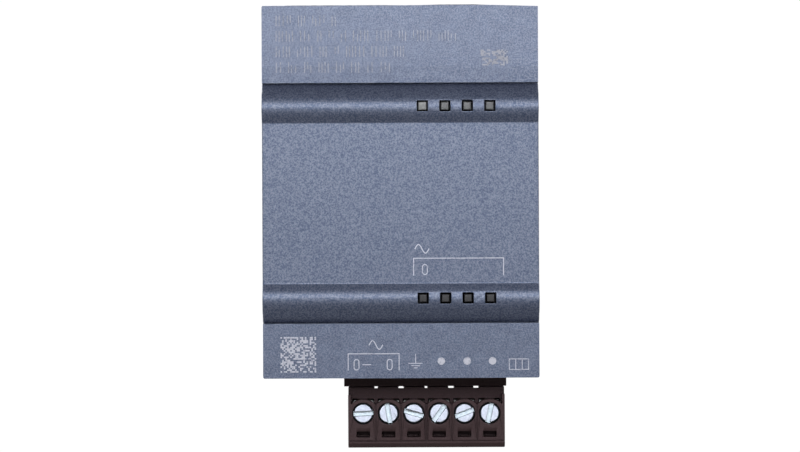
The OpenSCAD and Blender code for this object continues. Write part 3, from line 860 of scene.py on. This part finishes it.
headLayout = {
    "seed": 41, "left": -17.0,
    "rows": ((23.55, -7.6), (21.45, 9.0), (19.3, 1.3), (17.15, -1.4)),  # height and right end
    "cells": {"left": 11.1, "foot": 17.3, "cell": 0.22, "columns": 17, "rows": 10, "fill": 0.5},
}


def headPrint():
    # four faint rows and a small block of cells on the upper panel
    draw = random.Random(headLayout["seed"])
    bm = bmesh.new()
    upper, fine = printShape["upperDepth"], printShape["fineStroke"]
    for z, end in headLayout["rows"]:
        tallyRow(bm, draw, headLayout["left"], end, z, upper, fine)
    cellBlock(bm, draw, headLayout["cells"], upper)
    finishPrint("head_print", bm, faintInk)


panelLayout = {
    "seed": 43,
    "windowBracket": (1.75, 14.1, -9.15, -11.5),  # left, right, top and foot
    "windowWave": (1.95, -7.85, 0.12),  # left, level and step
    "windowNought": (3.3, -10.7, 0.34, 0.68),  # middle, half width and half height
    "cells": {"left": -16.6, "foot": -24.8, "cell": 0.223, "columns": 22, "rows": 22, "fill": 0.5},
    "terminalBracket": (-7.3, -0.3, -22.25, -24.5),
    "terminalWave": (-4.4, -21.05, 0.115),
    "terminalNoughts": ((-6.15, -23.75, 0.34, 0.72), (-1.6, -23.75, 0.34, 0.72)),
    "minus": (-5.3, -4.2, -23.75),  # left, right and level
    "earthStem": (1.97, -22.35, -23.6),  # middle, top and foot
    "earthBars": ((0.95, -23.6), (0.55, -23.92), (0.22, -24.22)),  # half width and level
    "dots": (5.5, 9.05, 12.55), "dotLevel": -23.3, "dotRadius": 0.52,
    "strip": (14.85, 17.5, -23.05, -24.5), "stripWalls": (15.73, 16.62), "wallInset": 0.1,
}


def panelPrint():
    # the signs over the lower windows and along the lower panel
    draw = random.Random(panelLayout["seed"])
    bm = bmesh.new()
    upper, middle = printShape["upperDepth"], printShape["middleDepth"]
    fine, stroke = printShape["fineStroke"], printShape["stroke"]
    bracket(bm, *panelLayout["windowBracket"], middle, stroke)
    waveSign(bm, *panelLayout["windowWave"], middle, stroke)
    oval(bm, *panelLayout["windowNought"], middle, stroke)
    cellBlock(bm, draw, panelLayout["cells"], upper)
    bracket(bm, *panelLayout["terminalBracket"], upper, stroke)
    waveSign(bm, *panelLayout["terminalWave"], upper, stroke)
    for nought in panelLayout["terminalNoughts"]:
        oval(bm, *nought, upper, stroke)
    left, right, level = panelLayout["minus"]
    ribbon(bm, [(left, level), (right, level)], upper, stroke)
    x, top, foot = panelLayout["earthStem"]
    ribbon(bm, [(x, top), (x, foot)], upper, fine)
    for half, level in panelLayout["earthBars"]:
        ribbon(bm, [(x - half, level), (x + half, level)], upper, fine)
    for x in panelLayout["dots"]:
        dot(bm, x, panelLayout["dotLevel"], panelLayout["dotRadius"], upper)
    # a plain terminal strip sign
    bracket(bm, *panelLayout["strip"], upper, fine, closed=True)
    top, foot = panelLayout["strip"][2:]
    inset = panelLayout["wallInset"]
    for x in panelLayout["stripWalls"]:
        ribbon(bm, [(x, top - inset), (x, foot + inset)], upper, fine)
    finishPrint("panel_print", bm, paleInk)


headPrint()
panelPrint()
print("stage 6: print ready")


# Floor, lights and camera.
stageSetup = {
    "headroom": 13 * mm, "floorRadius": 4.0, "floorRough": 0.9,
    "floorTone": (0.86, 0.86, 0.86), "floorBounce": (0.3, 0.3, 0.3),
    "backdrop": 1.02, "horizon": (0.70, 0.90), "nearGlow": 0.45, "worldLight": 0.14,
}


def makeFloor():
    # a floor that fades into the backdrop, and is darker to everything but the camera
    bm = bmesh.new()
    bmesh.ops.create_circle(bm, cap_ends=True, radius=stageSetup["floorRadius"], segments=96)
    mesh = bpy.data.meshes.new("floor")
    bm.to_mesh(mesh)
    bm.free()
    floor = bpy.data.objects.new("floor", mesh)
    floor.location = (0, 0, cadBounds[0].z - stageSetup["headroom"])
    bpy.context.scene.collection.objects.link(floor)
    material = bpy.data.materials.new("pale floor")
    material.use_nodes = True
    tree = material.node_tree
    shader = tree.nodes["Principled BSDF"]
    shader.inputs["Roughness"].default_value = stageSetup["floorRough"]
    glow = tree.nodes.new("ShaderNodeEmission")
    glow.inputs["Strength"].default_value = stageSetup["backdrop"]
    facing = tree.nodes.new("ShaderNodeLayerWeight")
    facing.inputs["Blend"].default_value = 0.5
    seen = tree.nodes.new("ShaderNodeLightPath").outputs["Is Camera Ray"]
    tone = blendColours(tree, seen, stageSetup["floorBounce"], stageSetup["floorTone"])
    tree.links.new(tone, shader.inputs["Base Color"])
    share = rangeNode(tree, facing.outputs["Facing"], *stageSetup["horizon"], stageSetup["nearGlow"], 1.0)
    share = mathNode(tree, "MULTIPLY", share, seen)
    mix = tree.nodes.new("ShaderNodeMixShader")
    tree.links.new(share, mix.inputs[0])
    tree.links.new(shader.outputs[0], mix.inputs[1])
    tree.links.new(glow.outputs[0], mix.inputs[2])
    tree.links.new(mix.outputs[0], tree.nodes["Material Output"].inputs["Surface"])
    mesh.materials.append(material)


makeFloor()

world = bpy.data.worlds.new("studio")
bpy.context.scene.world = world
world.use_nodes = True
sky = world.node_tree.nodes["Background"]
paths = world.node_tree.nodes.new("ShaderNodeLightPath")
level = rangeNode(world.node_tree, paths.outputs["Is Camera Ray"], 0.0, 1.0,
                  stageSetup["worldLight"], stageSetup["backdrop"])
world.node_tree.links.new(level, sky.inputs["Strength"])
sky.inputs["Color"].default_value = (1.0, 1.0, 1.0, 1.0)

white = (1.0, 1.0, 1.0)
lamps = {
    "key": {"place": (0.0, -0.30, 0.082), "size": (0.32, 0.085), "power": 0.78,
            "tint": (0.90, 0.925, 1.0)},
    "leftFill": {"place": (-0.9, 0.05, 0.35), "size": (0.7, 0.7), "power": 8.0, "tint": white},
    "rightFill": {"place": (0.9, -0.05, 0.30), "size": (0.7, 0.7), "power": 7.0, "tint": white},
    "rearFill": {"place": (-0.35, 0.9, 0.45), "size": (0.8, 0.8), "power": 11.0, "tint": white},
}
target = Vector((0.0, -0.012, -0.004))  # the middle of the module
for lampName, lamp in lamps.items():
    data = bpy.data.lights.new(lampName, "AREA")
    data.shape = "RECTANGLE"
    data.size, data.size_y = lamp["size"]
    data.energy = lamp["power"]
    data.color = lamp["tint"]
    light = bpy.data.objects.new(lampName, data)
    light.location = lamp["place"]
    light.rotation_mode = "QUATERNION"
    light.rotation_quaternion = (target - light.location).to_track_quat("-Z", "Y")
    light.visible_camera = False
    bpy.context.scene.collection.objects.link(light)

cameraSetup = {
    "place": (-0.00009, -0.471, -0.00471), "lens": 147.8, "sensor": 36.0, "lean": 0.27,
    "nearest": 0.01, "farthest": 20.0,
}
cameraData = bpy.data.cameras.new("camera")
cameraData.lens = cameraSetup["lens"]
cameraData.sensor_width = cameraSetup["sensor"]
cameraData.clip_start = cameraSetup["nearest"]
cameraData.clip_end = cameraSetup["farthest"]
cameraData.dof.use_dof = False
camera = bpy.data.objects.new("camera", cameraData)
camera.location = cameraSetup["place"]
camera.rotation_euler = (math.radians(90), math.radians(cameraSetup["lean"]), 0)
bpy.context.scene.collection.objects.link(camera)
bpy.context.scene.camera = camera
bpy.context.scene.view_settings.view_transform = "Standard"
bpy.context.scene.view_settings.look = "None"
print("stage 7: floor, lights and camera ready")
